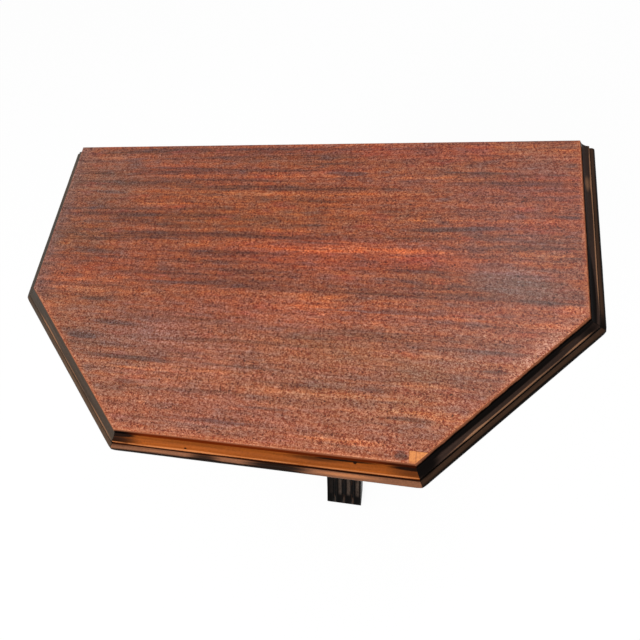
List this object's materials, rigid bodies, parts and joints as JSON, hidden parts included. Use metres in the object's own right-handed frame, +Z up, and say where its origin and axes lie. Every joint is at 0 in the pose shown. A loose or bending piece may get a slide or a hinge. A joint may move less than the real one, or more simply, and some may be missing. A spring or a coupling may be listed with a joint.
{
  "type": "accent table",
  "caption": "Half-octagonal accent table with a moulded edge, on a fluted column and three fluted sabre legs.",
  "frame": {"origin": "on the floor, under the middle of the table's extent", "axes": "+Z up; +Y towards the plain back edge; X along the front"},
  "size_m": [0.6794, 0.409, 0.73],
  "materials": {
    "face_veneer": "satin polish",
    "patch_veneer": "satin polish",
    "backing_veneer": "plain",
    "carcase_wood": "plain",
    "edge_wood": "satin polish",
    "base_wood": "dark stain and polish",
    "joint_wood": "plain",
    "steel": "dull"
  },
  "bodies": {
    "root": {"top_core": "carcase_wood", "top_veneer": "face_veneer", "corner_patch": "patch_veneer", "backing_veneer": "backing_veneer", "back_lipping": "edge_wood", "moulding_side_left": "edge_wood", "moulding_cant_left": "edge_wood", "moulding_front": "edge_wood", "moulding_cant_right": "edge_wood", "moulding_side_right": "edge_wood", "bearer_long": "carcase_wood", "bearer_cross": "carcase_wood", "bearer_screws": "steel", "column": "base_wood", "column_wedge": "joint_wood", "column_ring": "base_wood", "column_collar": "base_wood", "drum": "base_wood", "leg_front": "base_wood", "leg_rear_right": "base_wood", "leg_rear_left": "base_wood", "leg_dowels": "joint_wood", "brace_plate": "steel", "brace_screws": "steel", "foot_glides": "steel"}
  },
  "joints": []
}
